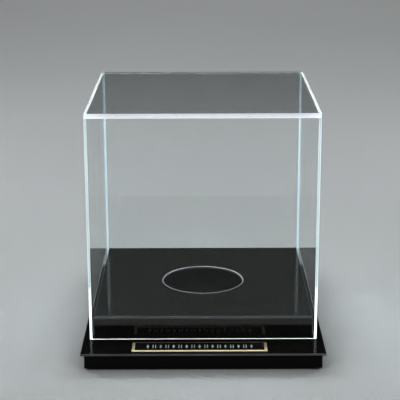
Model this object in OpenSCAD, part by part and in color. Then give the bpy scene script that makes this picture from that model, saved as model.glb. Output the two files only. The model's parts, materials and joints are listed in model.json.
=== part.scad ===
// Display cube for a ball: a clear five-panel cover that lifts straight off a black base.
// Units are millimetres. X is the width, -Y is the front, +Z is up.
// The origin is the centre of the base's footprint, on the surface that the feet stand on.

/* [Cover] */
// Outside width of the clear cover
cover_w = 267; // [200:1:340]
// Outside depth of the clear cover
cover_d = 267; // [200:1:340]
// Outside height of the clear cover
cover_h = 271; // [180:1:340]
// Thickness of the cover's four walls
wall_t = 3; // [2:0.1:5]
// Thickness of the cover's top sheet
cover_top_t = 5; // [3:0.1:10]

/* [Riser] */
// Gap between the riser and the cover's walls, on each side
riser_gap = 2; // [0.5:0.1:5]
// Height of the riser above the deck
riser_h = 27.8; // [15:0.1:60]
// Diameter of the round seat cut in the riser's top
seat_d = 100; // [60:1:140]
// Width of the bevel round the seat's upper rim
seat_bevel = 0.5; // [0.3:0.1:1]

/* [Base] */
// Thickness of the black sheet that the riser and the base are made of
sheet_t = 2.8; // [2:0.1:5]
// Height of the base, from the skirts' lower edge to the top of the deck
base_h = 19.5; // [10:0.5:30]
// Width of the deck in front of the cover
flange_front = 43.5; // [40:0.5:80]
// Width of the deck beside the cover, and behind it
flange_side = 7.5; // [4:0.5:20]
// How far the skirts stand in from the deck's edges
skirt_inset = 4; // [0:0.5:10]
// Bevel along the edges of every sheet
edge_break = 0.3; // [0.1:0.1:0.5]

/* [Feet] */
// Diameter of a rubber foot where it stands
foot_d = 16; // [10:1:20]
// Height of a rubber foot
foot_h = 2.5; // [2:0.1:5]
// Side of the square corner block that carries a foot
block_w = 24; // [22:1:40]

/* [Nameplate] */
// Width of the nameplate
plate_w = 156.5; // [60:0.5:180]
// Depth of the nameplate, from front to back
plate_d = 29; // [15:1:30]
// Thickness of the nameplate
plate_t = 1; // [0.8:0.1:2]
// Width of the nameplate's border
plate_border = 3.5; // [1:0.5:5]
// Depth of the sunken field inside the border
plate_recess = 0.2; // [0.1:0.1:0.4]
// Thickness of the adhesive tape under the nameplate
tape_t = 0.2; // [0.1:0.1:0.5]
// Distance from the deck's front edge to the nameplate
plate_front_gap = 5.5; // [2:0.1:8]
// How far the nameplate sits to the right of the middle
plate_shift = -4.2; // [-10:0.1:10]

/* [Hidden] */
$fn = 96;
overcut = 1;
foot_lean = 70;
foot_round = 0.8;
tape_inset = 2;

base_w = cover_w + 2 * flange_side;
base_d = flange_front + cover_d + flange_side;
skirt_w = base_w - 2 * skirt_inset;
skirt_d = base_d - 2 * skirt_inset;
deck_z = foot_h + base_h;
skirt_h = base_h - sheet_t;
cover_y = -base_d / 2 + flange_front + cover_d / 2;

wall_h = cover_h - cover_top_t;
riser_w = cover_w - 2 * (wall_t + riser_gap);
riser_d = cover_d - 2 * (wall_t + riser_gap);
riser_wall_h = riser_h - sheet_t;
riser_top_z = deck_z + riser_wall_h;

plate_y = -base_d / 2 + plate_front_gap + plate_d / 2;

CLEAR = [0.86, 0.94, 0.96, 0.35];
BLACK = [0.06, 0.06, 0.06];
DARK_RUBBER = [0.12, 0.12, 0.12];
GOLD = [0.80, 0.70, 0.42];
TAPE = [0.90, 0.90, 0.86];

// Sign of X and of Y at each corner, with the corner's name
CORNERS = [
    [-1, -1, "front_left"],
    [1, -1, "front_right"],
    [-1, 1, "back_left"],
    [1, 1, "back_right"],
];
BLOCK_NODES = [for (c = CORNERS) str("corner_block_", c[2])];
FOOT_NODES = [for (c = CORNERS) str("rubber_foot_", c[2])];

// Outline of a rectangle with its four corners bevelled
function bevelled(w, h) = let (c = edge_break) [
    [c, 0], [w - c, 0], [w, c], [w, h - c],
    [w - c, h], [c, h], [0, h - c], [0, c],
];

// Flat sheet with every edge bevelled, centred in X and Y, standing on z = 0
module sheet(size) {
    translate([-size.x / 2, -size.y / 2, 0])
        intersection() {
            linear_extrude(size.z) polygon(bevelled(size.x, size.y));
            rotate([90, 0, 90]) linear_extrude(size.x) polygon(bevelled(size.y, size.z));
            translate([0, size.y, 0]) rotate([90, 0, 0])
                linear_extrude(size.y) polygon(bevelled(size.x, size.z));
        }
}

// A wall across the front (side = -1) or the back (side = 1) of a box w wide and d deep
module cross_wall(w, d, h, t, side) {
    translate([0, side * (d - t) / 2, 0]) sheet([w, t, h]);
}

// A wall along the left (side = -1) or the right (side = 1), between the front and back walls
module side_wall(w, d, h, t, side) {
    translate([side * (w - t) / 2, 0, 0]) sheet([t, d - 2 * t, h]);
}

module at_cover(z) {
    translate([0, cover_y, z]) children();
}

module cover_top_sheet() {
    color(CLEAR) at_cover(deck_z + wall_h) sheet([cover_w, cover_d, cover_top_t]);
}

module cover_cross_panel(side) {
    color(CLEAR) at_cover(deck_z) cross_wall(cover_w, cover_d, wall_h, wall_t, side);
}

module cover_side_panel(side) {
    color(CLEAR) at_cover(deck_z) side_wall(cover_w, cover_d, wall_h, wall_t, side);
}

// The riser's top sheet, with the round seat that the ball sits down into
module riser_top_sheet() {
    color(BLACK) at_cover(riser_top_z) difference() {
        sheet([riser_w, riser_d, sheet_t]);
        translate([0, 0, -overcut]) cylinder(d = seat_d, h = sheet_t + 2 * overcut);
        translate([0, 0, sheet_t - seat_bevel])
            cylinder(d1 = seat_d, d2 = seat_d + 2 * seat_bevel, h = seat_bevel);
    }
}

module riser_cross_wall(side) {
    color(BLACK) at_cover(deck_z) cross_wall(riser_w, riser_d, riser_wall_h, sheet_t, side);
}

module riser_side_wall(side) {
    color(BLACK) at_cover(deck_z) side_wall(riser_w, riser_d, riser_wall_h, sheet_t, side);
}

module base_deck() {
    color(BLACK) translate([0, 0, deck_z - sheet_t]) sheet([base_w, base_d, sheet_t]);
}

module base_cross_skirt(side) {
    color(BLACK) translate([0, 0, foot_h]) cross_wall(skirt_w, skirt_d, skirt_h, sheet_t, side);
}

module base_side_skirt(side) {
    color(BLACK) translate([0, 0, foot_h]) side_wall(skirt_w, skirt_d, skirt_h, sheet_t, side);
}

// Puts a child at the middle of a corner block
module at_corner(corner) {
    inset = sheet_t + block_w / 2;
    translate([corner.x * (skirt_w / 2 - inset), corner.y * (skirt_d / 2 - inset), 0]) children();
}

module corner_block(corner) {
    color(BLACK) at_corner(corner) translate([0, 0, foot_h]) sheet([block_w, block_w, skirt_h]);
}

// Stick-on foot: a low cone, wider at the block, that runs smoothly into a rounded lower rim
module rubber_foot(corner) {
    r = foot_d / 2 - foot_round * tan(foot_lean / 2);
    rim = [r + foot_round * sin(foot_lean), foot_round * (1 - cos(foot_lean))];
    color(DARK_RUBBER) at_corner(corner) rotate_extrude() union() {
        polygon([
            [0, 0], [r, 0], rim,
            [rim.x + (foot_h - rim.y) / tan(foot_lean), foot_h], [0, foot_h],
        ]);
        intersection() {
            translate([r, foot_round]) circle(r = foot_round);
            polygon([[r, 0], [foot_d / 2, 0], rim]);
        }
    }
}

// Thin plate with a raised border round a sunken field
module nameplate() {
    color(GOLD) translate([plate_shift, plate_y, deck_z + tape_t]) difference() {
        sheet([plate_w, plate_d, plate_t]);
        translate([-plate_w / 2 + plate_border, -plate_d / 2 + plate_border, plate_t - plate_recess])
            cube([plate_w - 2 * plate_border, plate_d - 2 * plate_border, plate_recess + overcut]);
    }
}

module nameplate_tape() {
    color(TAPE) translate([plate_shift, plate_y, deck_z])
        linear_extrude(tape_t)
            square([plate_w - 2 * tape_inset, plate_d - 2 * tape_inset], center = true);
}

cover_top_sheet();
cover_cross_panel(-1);  // cover_front_panel
cover_cross_panel(1);  // cover_back_panel
cover_side_panel(-1);  // cover_left_panel
cover_side_panel(1);  // cover_right_panel
riser_top_sheet();
riser_cross_wall(-1);  // riser_front_wall
riser_cross_wall(1);  // riser_back_wall
riser_side_wall(-1);  // riser_left_wall
riser_side_wall(1);  // riser_right_wall
base_deck();
base_cross_skirt(-1);  // base_front_skirt
base_cross_skirt(1);  // base_back_skirt
base_side_skirt(-1);  // base_left_skirt
base_side_skirt(1);  // base_right_skirt
nameplate();
nameplate_tape();
for (i = [0 : len(CORNERS) - 1]) {
    corner_block(CORNERS[i]);
    rubber_foot(CORNERS[i]);
}
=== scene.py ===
"""Looks of a clear display cube on a black base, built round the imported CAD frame.

Metres, +Z up, -Y the front. Every position comes from the frame or from the values below.
"""

import json
import math

import bmesh
import bpy
from mathutils import Matrix, Vector

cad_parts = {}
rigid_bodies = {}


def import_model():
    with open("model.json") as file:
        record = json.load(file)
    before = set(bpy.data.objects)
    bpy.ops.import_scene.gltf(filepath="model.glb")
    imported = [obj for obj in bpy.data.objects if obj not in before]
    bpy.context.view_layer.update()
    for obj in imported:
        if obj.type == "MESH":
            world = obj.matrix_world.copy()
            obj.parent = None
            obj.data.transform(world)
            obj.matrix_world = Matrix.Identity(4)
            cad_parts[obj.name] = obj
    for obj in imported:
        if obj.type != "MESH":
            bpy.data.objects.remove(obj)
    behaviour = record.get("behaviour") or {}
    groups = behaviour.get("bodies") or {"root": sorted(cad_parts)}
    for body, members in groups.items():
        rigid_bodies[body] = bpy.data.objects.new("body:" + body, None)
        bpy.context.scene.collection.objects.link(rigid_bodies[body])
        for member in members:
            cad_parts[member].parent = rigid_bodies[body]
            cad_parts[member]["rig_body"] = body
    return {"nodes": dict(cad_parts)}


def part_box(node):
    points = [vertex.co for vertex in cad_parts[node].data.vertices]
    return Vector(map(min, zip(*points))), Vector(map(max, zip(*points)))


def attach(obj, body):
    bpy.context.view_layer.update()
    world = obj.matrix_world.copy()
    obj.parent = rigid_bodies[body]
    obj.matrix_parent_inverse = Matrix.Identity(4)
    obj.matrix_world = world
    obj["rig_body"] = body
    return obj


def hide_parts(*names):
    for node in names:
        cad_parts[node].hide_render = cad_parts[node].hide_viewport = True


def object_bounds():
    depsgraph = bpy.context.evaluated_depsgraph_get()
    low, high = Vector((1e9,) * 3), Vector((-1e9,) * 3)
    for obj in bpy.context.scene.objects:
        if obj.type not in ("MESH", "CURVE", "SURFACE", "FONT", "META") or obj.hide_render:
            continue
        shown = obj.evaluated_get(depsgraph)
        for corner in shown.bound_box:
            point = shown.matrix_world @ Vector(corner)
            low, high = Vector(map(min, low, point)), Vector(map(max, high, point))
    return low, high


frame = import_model()
cad_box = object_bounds()

MM = 0.001
WELD = 0.001 * MM  # corners closer than this are joined
HAIR = 0.01 * MM  # two heights closer than this are the same
FLAT = 0.99  # a face whose normal has more than this along an axis looks along it
UP = Vector((0, 0, 1))

# Rounding of the bevels that the sheets' edges already have
CLEAR_ROUND, BLACK_ROUND, PLATE_ROUND = 0.12 * MM, 0.10 * MM, 0.05 * MM

JOINT_GAP = 0.05 * MM  # solvent joint between two clear sheets
FILLET, FILLET_STEPS = 1.5 * MM, 5  # cement in the back corners of the cover
FOOT_LIGHT_LOW, FOOT_LIGHT_HIGH = 58 * MM, 66 * MM  # painted light: the front joints' white foot fades out between these
TOP_WHITE_LOW, TOP_WHITE_HIGH = 1.2 * MM, 0.6 * MM  # the joints whiten between these, below the top
GREY_WANDER, GREY_FADE = 0.4 * MM, 0.5 * MM  # lower limit of the painted lavender-grey upper half of the top's rim
LIP_WIDTH, LIP_HEIGHT, LIP_SUNK = 1.2 * MM, 0.3 * MM, 0.02 * MM  # rounded lip round the seat
LIP_AROUND, LIP_ACROSS = 128, 8

# The nameplate's ornament
PITCH, ORNAMENT_DEPTH = 7.5 * MM, 12 * MM
LOZENGE_WIDTH = 3.4 * MM
BAR_WIDTH, BAR_OFFSET, BAR_DEPTH = 1.3 * MM, 1.5 * MM, 0.8 * ORNAMENT_DEPTH
ORNAMENT_RISE, ORNAMENT_ROOT = 0.12 * MM, 0.10 * MM  # above and below the field
ORNAMENTS_A_SIDE = 8
BACK_SHADE_LOW, BACK_SHADE_HIGH = 5.0 * MM, 2.5 * MM  # painted shade on the gold's back border comes on between these, from the back edge

# The studio: a direction's height is 1 straight up and 0 at the horizon
ROOM_DIM, CEILING_BRIGHT = 0.022, 1.02
CEILING_LOW, CEILING_HIGH = 0.55, 0.85
FLOOR_SIZE, FLOOR_BEHIND = 30, 6

# Camera: where it stands, how far it turns in radians, and its lens in millimetres
CAMERA_AT = Vector((-0.0017, -1.4718, 0.5796))
CAMERA_DOWN, CAMERA_LEFT, CAMERA_ROLL = 0.2779, 0.0011, -0.0035
CAMERA_LENS, CAMERA_SENSOR = 111.39, 36

CORNERS = ("front_left", "front_right", "back_left", "back_right")


# ---------------------------------------------------------------- materials


class Look:
    """A material round one Principled shader, with short names for the nodes that feed it."""

    def __init__(self, name, **values):
        self.material = bpy.data.materials.new(name)
        self.material.use_nodes = True
        self.tree = self.material.node_tree
        self.shader = self.tree.nodes["Principled BSDF"]
        self.place = self.node("ShaderNodeTexCoord").outputs["Object"]
        for socket, value in values.items():
            self.shader.inputs[socket.replace("_", " ")].default_value = value

    def node(self, kind, inputs=None, **settings):
        """A new node; an input is either another node's output or a plain value."""
        made = self.tree.nodes.new(kind)
        for key, value in settings.items():
            setattr(made, key, value)
        for key, value in (inputs or {}).items():
            if isinstance(value, bpy.types.NodeSocket):
                self.tree.links.new(value, made.inputs[key])
            else:
                made.inputs[key].default_value = value
        return made

    def drive(self, socket, value):
        self.tree.links.new(value, self.shader.inputs[socket])

    def stretched(self, stretch, turn=(0, 0, 0)):
        """The object's own coordinates, stretched by a factor along each axis."""
        mapping = self.node("ShaderNodeMapping", {"Vector": self.place})
        mapping.inputs["Scale"].default_value = stretch
        mapping.inputs["Rotation"].default_value = turn
        return mapping.outputs[0]

    def noise(self, scale, detail, roughness=0.55, at=None):
        """Noise whose lumps are 1 / scale metres apart."""
        inputs = {"Vector": at or self.place, "Scale": scale, "Detail": detail}
        inputs["Roughness"] = roughness
        return self.node("ShaderNodeTexNoise", inputs).outputs[0]

    def span(self, value, low, high, to_low, to_high):
        """The value, carried from the range low..high to the range to_low..to_high."""
        inputs = {0: value, 1: low, 2: high, 3: to_low, 4: to_high}
        return self.node("ShaderNodeMapRange", inputs).outputs[0]

    def math(self, operation, a, b):
        return self.node("ShaderNodeMath", {0: a, 1: b}, operation=operation).outputs[0]

    def mixed(self, factor, a, b):
        """Colour a where the factor is 0, and colour b where it is 1."""
        mixer = self.node("ShaderNodeMix", data_type="RGBA")
        self.tree.links.new(factor, mixer.inputs[0])
        for socket, colour in zip([s for s in mixer.inputs if s.type == "RGBA"], (a, b)):
            if isinstance(colour, bpy.types.NodeSocket):
                self.tree.links.new(colour, socket)
            else:
                socket.default_value = colour
        return next(s for s in mixer.outputs if s.type == "RGBA")

    def bump(self, height, distance, strength):
        inputs = {"Height": height, "Distance": distance, "Strength": strength}
        self.drive("Normal", self.node("ShaderNodeBump", inputs).outputs[0])

    def lets_lamps_through(self, tint):
        """Shadow rays cross the surface, tinted, so that what stands behind it is lit."""
        clear = self.node("ShaderNodeBsdfTransparent", {"Color": tint})
        path = self.node("ShaderNodeLightPath")
        mixer = self.node("ShaderNodeMixShader", {0: path.outputs["Is Shadow Ray"]})
        self.tree.links.new(self.shader.outputs[0], mixer.inputs[1])
        self.tree.links.new(clear.outputs[0], mixer.inputs[2])
        output = self.tree.nodes["Material Output"]
        self.tree.links.new(mixer.outputs[0], output.inputs["Surface"])


def scratches(look, scale, turn):
    """Fine straight hairlines, 1 on a line and 0 off it."""
    lines = look.noise(scale, 1.0, 0.5, look.stretched((1, 0.02, 0.02), turn))
    return look.span(lines, 0.60, 0.64, 0.0, 1.0)


def clear_face(name, tint, streak):
    """The faces of a clear sheet: glossy, faintly smudged, with waves as long as streak says."""
    look = Look(name, Base_Color=tint, IOR=1.49)
    look.shader.inputs["Transmission Weight"].default_value = 1.0
    smudge = look.noise(22.0, 4.0)
    look.drive("Roughness", look.span(smudge, 0.50, 0.80, 0.004, 0.035))
    look.bump(look.noise(9.0, 1.0, 0.55, look.stretched(streak)), 0.3 * MM, 0.10)
    look.lets_lamps_through((0.93, 0.95, 0.945, 1))
    return look.material


def clear_edge():
    """The sawn rim of a clear sheet: milky, with painted shade turning the upper half of the top's rim
    a lavender-grey.
    """
    look = Look("clear_acrylic_edge", IOR=1.49)
    look.shader.inputs["Transmission Weight"].default_value = 0.35
    low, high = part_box("cover_top_sheet")
    height = look.node("ShaderNodeSeparateXYZ", {0: look.place}).outputs["Z"]
    wave = look.math("MULTIPLY", look.noise(30.0, 2.0), GREY_WANDER)
    limit = (low.z + high.z) / 2 + GREY_WANDER / 2
    polished = look.span(look.math("ADD", height, wave), limit, limit + GREY_FADE, 0.0, 1.0)
    cloud = look.span(look.noise(14.0, 2.0), 0.35, 0.65, 0.0, 1.0)
    white = look.mixed(cloud, (0.93, 0.91, 0.99, 1), (0.93, 1.0, 0.94, 1))
    # Painted shade: above the wavy line the rim is lavender-grey; only its colour changes there.
    look.drive("Base Color", look.mixed(polished, white, (0.80, 0.82, 0.91, 1)))
    saw = look.noise(900.0, 2.0)
    look.drive("Roughness", look.span(saw, 0.3, 0.7, 0.26, 0.36))
    look.bump(saw, 0.01 * MM, 0.3)
    look.lets_lamps_through((0.75, 0.78, 0.77, 1))
    return look.material


def clear_joint():
    """A solvent joint: a cloudy film, whitest along the top. The white at the foot of the front ones is
    painted light, and the front ones' film is set darker than the back ones', painted shade.
    """
    look = Look("clear_acrylic_joint", IOR=1.49, Roughness=0.4)
    look.shader.inputs["Transmission Weight"].default_value = 0.35
    low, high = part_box("cover_left_panel")
    split = look.node("ShaderNodeSeparateXYZ", {0: look.place}).outputs
    height, depth = split["Z"], split["Y"]
    behind = look.math("GREATER_THAN", depth, (low.y + high.y) / 2)
    # Painted light: the front joints turn white from the foot up to about 62 mm, where light piped down
    # the panel shows.
    foot = look.span(height, low.z + FOOT_LIGHT_LOW, low.z + FOOT_LIGHT_HIGH, 1.0, 0.0)
    foot = look.math("SUBTRACT", foot, behind)
    top = look.span(height, high.z - TOP_WHITE_LOW, high.z - TOP_WHITE_HIGH, 0.0, 1.0)
    streaks = look.noise(1.0, 3.0, 0.6, look.stretched((700, 700, 12)))
    # Painted shade: the front joints' film is a darker copy of the back joints' film.
    front = look.mixed(streaks, (0.37, 0.42, 0.44, 1), (0.51, 0.56, 0.58, 1))
    back = look.mixed(streaks, (0.42, 0.50, 0.54, 1), (0.54, 0.62, 0.66, 1))
    film = look.mixed(behind, front, back)
    painted_foot_light_and_white_top = look.math("MAXIMUM", foot, top)
    look.drive("Base Color", look.mixed(painted_foot_light_and_white_top, film, (0.99, 1.0, 1.0, 1)))
    look.bump(look.noise(1500.0, 2.0), 0.02 * MM, 0.4)
    look.lets_lamps_through((0.8, 0.84, 0.84, 1))
    return look.material


def black_face():
    """Cast gloss black, with wiping marks that only roughen the shine, and specks of dust."""
    look = Look("black_acrylic_face", IOR=1.49, Specular_IOR_Level=0.15)
    smudge = look.noise(16.0, 5.0, 0.6)
    wiped = look.math("MAXIMUM", scratches(look, 260.0, (0, 0, 0.5)),
                      scratches(look, 310.0, (0, 0, -0.9)))
    dust = look.span(look.noise(1400.0, 1.0), 0.80, 0.84, 0.0, 1.0)
    look.drive("Base Color", look.mixed(dust, (0.0064, 0.0066, 0.0059, 1), (0.12, 0.12, 0.115, 1)))
    gloss = look.span(smudge, 0.45, 0.75, 0.06, 0.10)
    gloss = look.math("ADD", gloss, look.math("MULTIPLY", wiped, 0.02))
    look.drive("Roughness", look.math("ADD", gloss, look.math("MULTIPLY", dust, 0.5)))
    look.bump(look.noise(12.0, 1.0), 0.2 * MM, 0.08)
    return look.material


def black_edge(name, dark, light):
    """The sawn rim of a black sheet: satin, with the saw's fine strokes across it."""
    look = Look(name, IOR=1.49)
    strokes = look.noise(1.0, 2.0, 0.6, look.stretched((1600, 1600, 120)))
    shade = look.noise(40.0, 3.0)
    look.drive("Base Color", look.mixed(shade, dark, light))
    look.drive("Roughness", look.span(strokes, 0.3, 0.7, 0.34, 0.52))
    look.bump(strokes, 0.02 * MM, 0.6)
    return look.material


def seat_rim(name, dark, light, smooth, rough):
    """A turned face of the round seat, with the tool's fine rings round it."""
    look = Look(name, IOR=1.49)
    turned = look.noise(1.0, 2.0, 0.6, look.stretched((120, 120, 4000)))
    look.drive("Base Color", look.mixed(turned, dark, light))
    look.drive("Roughness", look.span(turned, 0.3, 0.7, smooth, rough))
    look.bump(turned, 0.02 * MM, 0.4)
    return look.material


def gold():
    """Satin gold of the nameplate's border, brushed along X, with painted shade darkening it along the
    back.
    """
    look = Look("nameplate_gold", Metallic=1.0)
    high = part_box("nameplate")[1]
    depth = look.node("ShaderNodeSeparateXYZ", {0: look.place}).outputs["Y"]
    back_shade = look.span(depth, high.y - BACK_SHADE_LOW, high.y - BACK_SHADE_HIGH, 0.0, 1.0)
    brushed = look.noise(1.0, 2.0, 0.6, look.stretched((60, 3000, 3000)))
    gilt = look.mixed(brushed, (0.60, 0.52, 0.35, 1), (0.76, 0.69, 0.51, 1))
    # Painted shade: the border turns near black along its back edge.
    look.drive("Base Color", look.mixed(back_shade, gilt, (0.10, 0.09, 0.06, 1)))
    look.drive("Roughness", look.span(brushed, 0.3, 0.7, 0.28, 0.42))
    look.bump(brushed, 0.01 * MM, 0.5)
    return look.material


def lacquer():
    """Black lacquer of the nameplate's field over brushed metal."""
    look = Look("nameplate_lacquer", IOR=1.5)
    brushed = look.noise(1.0, 2.0, 0.6, look.stretched((60, 2600, 2600)))
    look.drive("Base Color", look.mixed(brushed, (0.004, 0.004, 0.004, 1), (0.010, 0.010, 0.009, 1)))
    look.drive("Roughness", look.span(brushed, 0.3, 0.7, 0.10, 0.18))
    look.bump(brushed, 0.01 * MM, 0.2)
    return look.material


def silver():
    """Silvered ornament of the nameplate."""
    look = Look("nameplate_silver", Metallic=1.0)
    worn = look.noise(700.0, 3.0)
    look.drive("Base Color", look.mixed(worn, (0.46, 0.47, 0.46, 1), (0.70, 0.71, 0.69, 1)))
    look.drive("Roughness", look.span(worn, 0.3, 0.7, 0.30, 0.48))
    return look.material


def tape():
    """Foam tape under the nameplate."""
    look = Look("nameplate_tape_foam")
    cells = look.noise(2500.0, 3.0)
    look.drive("Base Color", look.mixed(cells, (0.52, 0.51, 0.47, 1), (0.72, 0.71, 0.67, 1)))
    look.drive("Roughness", look.span(cells, 0.3, 0.7, 0.6, 0.85))
    look.bump(cells, 0.03 * MM, 0.6)
    return look.material


def rubber():
    """Moulded rubber of the feet, a little dusty."""
    look = Look("foot_rubber_grain", IOR=1.5)
    grain = look.noise(2200.0, 3.0)
    dust = look.noise(90.0, 4.0)
    look.drive("Base Color", look.mixed(dust, (0.010, 0.010, 0.010, 1), (0.030, 0.029, 0.027, 1)))
    look.drive("Roughness", look.span(grain, 0.3, 0.7, 0.55, 0.75))
    look.bump(grain, 0.05 * MM, 0.6)
    return look.material


def floor_paper():
    """Pale seamless paper."""
    look = Look("floor_paper")
    fibre = look.noise(350.0, 4.0)
    cloud = look.noise(1.5, 2.0)
    look.drive("Base Color", look.mixed(cloud, (0.205, 0.211, 0.209, 1), (0.222, 0.228, 0.226, 1)))
    look.drive("Roughness", look.span(fibre, 0.3, 0.7, 0.75, 0.92))
    look.bump(fibre, 0.05 * MM, 0.3)
    return look.material


# ------------------------------------------------------------------- pieces


def whole_faces(node):
    """The CAD node's shape in a bmesh, with its triangles joined into flat faces."""
    work = bmesh.new()
    work.from_mesh(frame["nodes"][node].data)
    bmesh.ops.remove_doubles(work, verts=work.verts, dist=WELD)
    bmesh.ops.dissolve_limit(work, angle_limit=math.radians(0.5), verts=work.verts, edges=work.edges)
    return work


def fitted(work, node, low_gap, high_gap):
    """Draws the shape's ends in by the given gaps, so that no two faces lie on each other."""
    low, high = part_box(node)
    for vert in work.verts:
        for axis in range(3):
            along = (vert.co[axis] - low[axis]) / (high[axis] - low[axis])
            vert.co[axis] += low_gap[axis] * (1 - along) - high_gap[axis] * along


def finished(work, name, node, materials, rounding):
    """Turns the bmesh into a piece that stands for the node and rides on its body."""
    mesh = bpy.data.meshes.new(name)
    work.to_mesh(mesh)
    work.free()
    # The frame's own normals no longer fit once its triangles are joined
    for layer in [a for a in mesh.attributes if a.name == "custom_normal"]:
        mesh.attributes.remove(layer)
    piece = bpy.data.objects.new(name, mesh)
    bpy.context.scene.collection.objects.link(piece)
    for made in materials:
        mesh.materials.append(made)
    mesh.shade_smooth()
    rounded = piece.modifiers.new("rounded edges", "BEVEL")
    rounded.width, rounded.segments = rounding, 2
    rounded.limit_method, rounded.angle_limit = "ANGLE", math.radians(25)
    rounded.harden_normals = True
    body = frame["nodes"][node]["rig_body"]
    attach(piece, body)
    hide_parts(node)


def thin_axis(node):
    """The axis, 0 to 2, that runs through the node's thickness."""
    low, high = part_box(node)
    size = high - low
    return min(range(3), key=lambda axis: size[axis])


def clear_sheet(node, low_gap, high_gap, materials, joints=(), polished=()):
    """A clear sheet: material 0 is its faces and polished rims, 1 its milky rim, 2 its joints.

    A rim is named by its axis, and by whether it is the one on that axis's high side.
    """
    work = whole_faces(node)
    thin = thin_axis(node)
    for face in work.faces:
        axis = max(range(3), key=lambda k: abs(face.normal[k]))
        flat = abs(face.normal[axis]) > FLAT
        side = (axis, face.normal[axis] > 0)
        smooth = axis == thin or side in polished
        face.material_index = (0 if smooth else 2 if side in joints else 1) if flat else 1
    fitted(work, node, low_gap, high_gap)
    if node == "cover_back_panel":
        back_fillets(work)
    finished(work, node + "_piece", node, materials, CLEAR_ROUND)


def raised(work, outline, low, high, material):
    """Adds a closed shape with upright sides, from z = low to z = high."""
    ring = [work.verts.new((x, y, low)) for x, y in outline]
    lid = [work.verts.new((x, y, high)) for x, y in outline]
    faces = [work.faces.new(lid), work.faces.new(ring[::-1])]
    for i in range(len(ring)):
        j = (i + 1) % len(ring)
        faces.append(work.faces.new((ring[i], ring[j], lid[j], lid[i])))
    for face in faces:
        face.material_index = material


def back_fillets(work):
    """A bead of cement down each of the cover's two back corners, inside."""
    left, back, right = (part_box(f"cover_{side}_panel") for side in ("left", "back", "right"))
    low, high = back[0].z + JOINT_GAP, back[1].z - JOINT_GAP
    y = back[0].y - JOINT_GAP
    for x, side in ((left[1].x + JOINT_GAP, 1), (right[0].x - JOINT_GAP, -1)):
        outline = [(x, y)]
        for i in range(FILLET_STEPS + 1):
            turn = math.radians(90 / FILLET_STEPS * i)
            across, along = FILLET * (1 - math.cos(turn)), FILLET * (1 - math.sin(turn))
            outline.append((x + side * across, y - along))
        if side < 0:
            outline = outline[:1] + outline[:0:-1]  # so that its faces still look outwards
        raised(work, outline, low, high, 2)


def cover(clear, walls):
    """The lift-off cover: front and back over the sides' ends, and the top over all four."""
    gap, flush = JOINT_GAP, (0, 0, 0)
    front, back, top = (1, False), (1, True), (2, True)
    clear_sheet("cover_top_sheet", flush, flush, clear, polished=(back,))
    clear_sheet("cover_front_panel", (0, 0, gap), (0, 0, gap), clear, joints=(top,))
    clear_sheet("cover_back_panel", (0, 0, gap), (0, 0, gap), clear, polished=(top,))
    for node in ("cover_left_panel", "cover_right_panel"):
        clear_sheet(node, (0, gap, gap), (0, gap, gap), walls, joints=(front, back, top))


def black_sheet(node, materials):
    """A black sheet: material 0 is its faces, 1 its sawn rim, 2 the seat's wall, 3 the seat's lip."""
    work = whole_faces(node)
    thin = thin_axis(node)
    low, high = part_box(node)
    middle = (low + high) / 2
    # In a sheet that lies flat, a rim nearer the middle than this is the seat's
    seat_reach = 0.7 * min(high.x - low.x, high.y - low.y) / 2
    for face in work.faces:
        flat = abs(face.normal[thin]) > FLAT
        upright = abs(face.normal.z) < 0.3
        centre = (face.calc_center_median() - middle).to_2d()
        in_seat = thin == 2 and centre.length < seat_reach
        rim = (2 if upright else 3) if in_seat else 1
        face.material_index = 0 if flat else rim
    if node == "riser_top_sheet":
        seat_lip(work, middle, high.z)
    finished(work, node + "_piece", node, materials, BLACK_ROUND)


def seat_lip(work, middle, top):
    """The low rounded lip, left by turning the seat, that stands round its upper rim."""
    centre = middle.to_2d()
    lid = [vert.co.to_2d() for vert in work.verts if abs(vert.co.z - top) < HAIR]
    inner = min((point - centre).length for point in lid)
    rings = []
    for i in range(LIP_AROUND):
        angle = 2 * math.pi * i / LIP_AROUND
        out = Vector((math.cos(angle), math.sin(angle), 0))
        ring = []
        for j in range(LIP_ACROSS):
            turn = math.pi * j / (LIP_ACROSS - 1)
            r = inner + LIP_WIDTH * (1 - math.cos(turn)) / 2
            z = top + LIP_HEIGHT * math.sin(turn) - LIP_SUNK
            ring.append(work.verts.new(Vector((centre.x, centre.y, z)) + out * r))
        rings.append(ring)
    for i in range(LIP_AROUND):
        here, after = rings[i], rings[(i + 1) % LIP_AROUND]
        for j in range(LIP_ACROSS):
            k = (j + 1) % LIP_ACROSS
            face = work.faces.new((here[j], after[j], after[k], here[k]))
            face.material_index = 3


def riser(materials):
    """The box that the seat is cut in."""
    for part in ("top_sheet", "front_wall", "back_wall", "left_wall", "right_wall"):
        black_sheet("riser_" + part, materials)


def base(materials):
    """The deck, its four skirts, and the blocks that the feet stick to."""
    for part in ("deck", "front_skirt", "back_skirt", "left_skirt", "right_skirt"):
        black_sheet("base_" + part, materials)
    for corner in CORNERS:
        black_sheet("corner_block_" + corner, materials)


def lozenge(x, y, width, depth):
    """Outline of an upright lozenge with its middle at x, y."""
    w, d = width / 2, depth / 2
    return [(x - w, y), (x, y - d), (x + w, y), (x, y + d)]


def bar(x, y, width, depth):
    """Outline of a rectangle with its middle at x, y."""
    w, d = width / 2, depth / 2
    return [(x - w, y - d), (x + w, y - d), (x + w, y + d), (x - w, y + d)]


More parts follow.
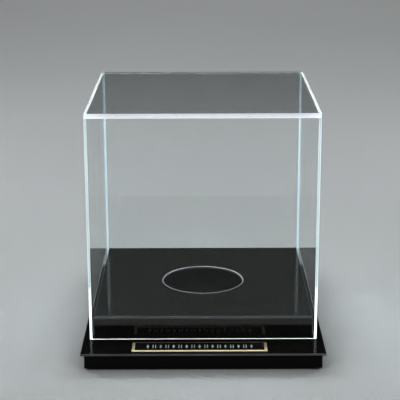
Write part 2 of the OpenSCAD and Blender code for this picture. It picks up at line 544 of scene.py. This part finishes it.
def nameplate(materials):
    """Gold-bordered plate: a black field with a row of silver lozenges and bars."""
    node = "nameplate"
    work = whole_faces(node)
    low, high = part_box(node)
    middle = (low + high) / 2
    field_z = min(f.calc_center_median().z for f in work.faces if f.normal.z > FLAT)
    for face in work.faces:
        inside = face.normal.z > FLAT and abs(face.calc_center_median().z - field_z) < HAIR
        face.material_index = 1 if inside else 0
    for i in range(-ORNAMENTS_A_SIDE, ORNAMENTS_A_SIDE + 1):
        x = middle.x + i * PITCH
        if i % 2 == 0:
            outlines = [lozenge(x, middle.y, LOZENGE_WIDTH, ORNAMENT_DEPTH)]
        else:
            outlines = [bar(x + side * BAR_OFFSET, middle.y, BAR_WIDTH, BAR_DEPTH) for side in (-1, 1)]
        for outline in outlines:
            raised(work, outline, field_z - ORNAMENT_ROOT, field_z + ORNAMENT_RISE, 2)
    finished(work, node + "_piece", node, materials, PLATE_ROUND)


def carried(node, material):
    """A CAD node that is shown as it is, in a better material."""
    obj = frame["nodes"][node]
    obj.data.materials.clear()
    obj.data.materials.append(material)


# -------------------------------------------------------------------- stage


def floor():
    """Wide pale floor at the height of the feet."""
    bpy.ops.mesh.primitive_plane_add(size=FLOOR_SIZE, location=(0, FLOOR_BEHIND, cad_box[0].z))
    plane = bpy.context.object
    plane.name = "floor"
    plane.data.materials.append(floor_paper())


def softbox(name, at, aim, size, power, tint=(1, 1, 1)):
    """A rectangular lamp of the given power in watts, that faces the point aim."""
    lamp = bpy.data.lights.new(name, "AREA")
    lamp.shape, lamp.size, lamp.size_y = "RECTANGLE", size[0], size[1]
    lamp.energy, lamp.color = power, tint
    box = bpy.data.objects.new(name, lamp)
    bpy.context.scene.collection.objects.link(box)
    box.location = at
    box.rotation_mode = "QUATERNION"
    box.rotation_quaternion = (Vector(aim) - Vector(at)).to_track_quat("-Z", "Y")


def room():
    """A dim room with a bright ceiling: the world brightens with the height of its directions."""
    world = bpy.data.worlds.new("studio")
    bpy.context.scene.world = world
    world.use_nodes = True
    tree = world.node_tree
    sky = tree.nodes["Background"]
    sky.inputs["Color"].default_value = (0.97, 0.985, 1.0, 1)
    place = tree.nodes.new("ShaderNodeTexCoord")
    split = tree.nodes.new("ShaderNodeSeparateXYZ")
    ceiling = tree.nodes.new("ShaderNodeMapRange")
    ceiling.inputs["From Min"].default_value = CEILING_LOW
    ceiling.inputs["From Max"].default_value = CEILING_HIGH
    ceiling.inputs["To Min"].default_value = ROOM_DIM
    ceiling.inputs["To Max"].default_value = CEILING_BRIGHT
    tree.links.new(place.outputs["Generated"], split.inputs["Vector"])
    tree.links.new(split.outputs["Z"], ceiling.inputs["Value"])
    tree.links.new(ceiling.outputs["Result"], sky.inputs["Strength"])


def softboxes():
    """Lamps at both sides, in front at both sides, above the back, and over the floor behind."""
    middle = (cad_box[0] + cad_box[1]) / 2
    cool = (0.90, 0.95, 1.0)
    softbox("box_left", (-1.35, 0.80, 1.10), middle, (0.25, 0.35), 12, cool)
    softbox("box_right", (1.35, 0.80, 1.10), middle, (0.25, 0.35), 10, cool)
    softbox("box_front_left", (-3.2, -3.4, 3.0), middle, (2.4, 2.0), 130)
    softbox("box_front_right", (3.2, -3.4, 3.0), middle, (2.4, 2.0), 112)
    softbox("box_back", (0, 1.3, 2.4), middle, (1.8, 0.8), 6)
    softbox("box_far", (0, 3.6, 3.0), (0, 3.6, 0), (3.0, 1.6), 40)


def camera():
    """The photograph's point of view."""
    lens = bpy.data.cameras.new("camera")
    lens.lens, lens.sensor_width = CAMERA_LENS, CAMERA_SENSOR
    lens.clip_start, lens.clip_end = 0.05, 60
    eye = bpy.data.objects.new("camera", lens)
    bpy.context.scene.collection.objects.link(eye)
    level = math.cos(CAMERA_DOWN)
    ahead = Vector((-math.sin(CAMERA_LEFT) * level, math.cos(CAMERA_LEFT) * level,
                    -math.sin(CAMERA_DOWN)))
    right = ahead.cross(UP).normalized()
    turn = Matrix((right, right.cross(ahead), -ahead)).transposed()
    turn = turn @ Matrix.Rotation(CAMERA_ROLL, 3, "Z")
    eye.matrix_world = Matrix.Translation(CAMERA_AT) @ turn.to_4x4()
    bpy.context.scene.camera = eye


def picture():
    """Colour management and light bounces that clear sheets need."""
    scene = bpy.context.scene
    scene.view_settings.view_transform = "Standard"
    scene.view_settings.look = "High Contrast"
    scene.cycles.max_bounces = 24
    scene.cycles.transmission_bounces = 24
    scene.cycles.glossy_bounces = 10
    scene.cycles.transparent_max_bounces = 24
    scene.cycles.sample_clamp_indirect = 6.0
    # Reflections in clear sheets leave grain where the denoiser is given the normals
    scene.cycles.denoising_input_passes = "RGB_ALBEDO"


# ---------------------------------------------------------------- the scene


camera()
picture()
floor()
room()
softboxes()

clear_rims = [clear_edge(), clear_joint()]
plain = clear_face("clear_acrylic_face", (0.985, 0.998, 0.995, 1), (1, 1, 1))
streaked = clear_face("clear_acrylic_side_wall", (0.975, 0.993, 0.998, 1), (1, 6, 0.3))
cover([plain] + clear_rims, [streaked] + clear_rims)

black = black_face()
riser_rims = [
    # Painted shade: the riser's sawn rim is a darker copy of the base's rim.
    black_edge("black_acrylic_riser_edge_shaded", (0.022, 0.024, 0.027, 1), (0.034, 0.037, 0.040, 1)),
    # Painted shade: the seat's wall is darker than the riser's rim.
    seat_rim("black_acrylic_seat_wall_shaded", (0.014, 0.015, 0.016, 1), (0.030, 0.032, 0.034, 1), 0.24, 0.38),
    # Painted highlight: the seat's lip is a light grey that stands in for the highlight along the rim.
    seat_rim("black_acrylic_seat_lip_highlighted", (0.125, 0.130, 0.138, 1), (0.190, 0.196, 0.208, 1), 0.12, 0.22),
]
riser([black] + riser_rims)
base_edge = black_edge("black_acrylic_base_edge", (0.050, 0.052, 0.055, 1), (0.072, 0.075, 0.078, 1))
base([black, base_edge])

nameplate([gold(), lacquer(), silver()])
carried("nameplate_tape", tape())
feet = rubber()
for corner in CORNERS:
    carried("rubber_foot_" + corner, feet)
